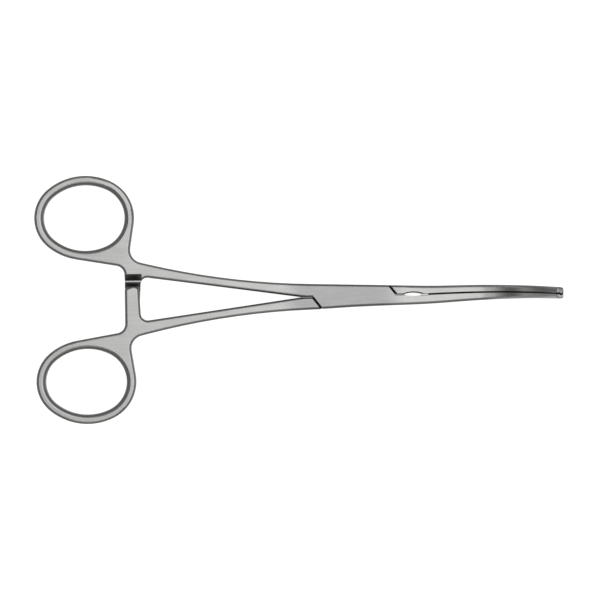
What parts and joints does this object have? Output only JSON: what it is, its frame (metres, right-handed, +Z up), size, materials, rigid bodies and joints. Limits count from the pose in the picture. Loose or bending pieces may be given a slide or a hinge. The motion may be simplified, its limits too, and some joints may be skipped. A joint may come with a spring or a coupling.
{
  "type": "peripheral vascular clamp",
  "caption": "Ratcheted vascular clamp with oval finger rings, a box lock and long slender jaws that curve upwards, in satin steel.",
  "frame": {"origin": "on the pivot axis, at the flat underside that the clamp rests on", "axes": "+X along the closed clamp to the jaw tips, +Y to the finger ring of the box half, +Z up from the underside, the way the jaws curve"},
  "size_m": [0.1688, 0.0796, 0.0149],
  "materials": {
    "steel": "satin",
    "pin_steel": "satin"
  },
  "bodies": {
    "box_side": {"box_half": "steel", "lock_pin": "pin_steel"},
    "tongue_side": {"tongue_half": "steel"}
  },
  "joints": [
    {"name": "lock_hinge", "type": "hinge", "parent": "box_side", "child": "tongue_side", "pos_m": [0, 0, 0], "axis": [0, 0, 1], "range_deg": [0, 60]}
  ]
}
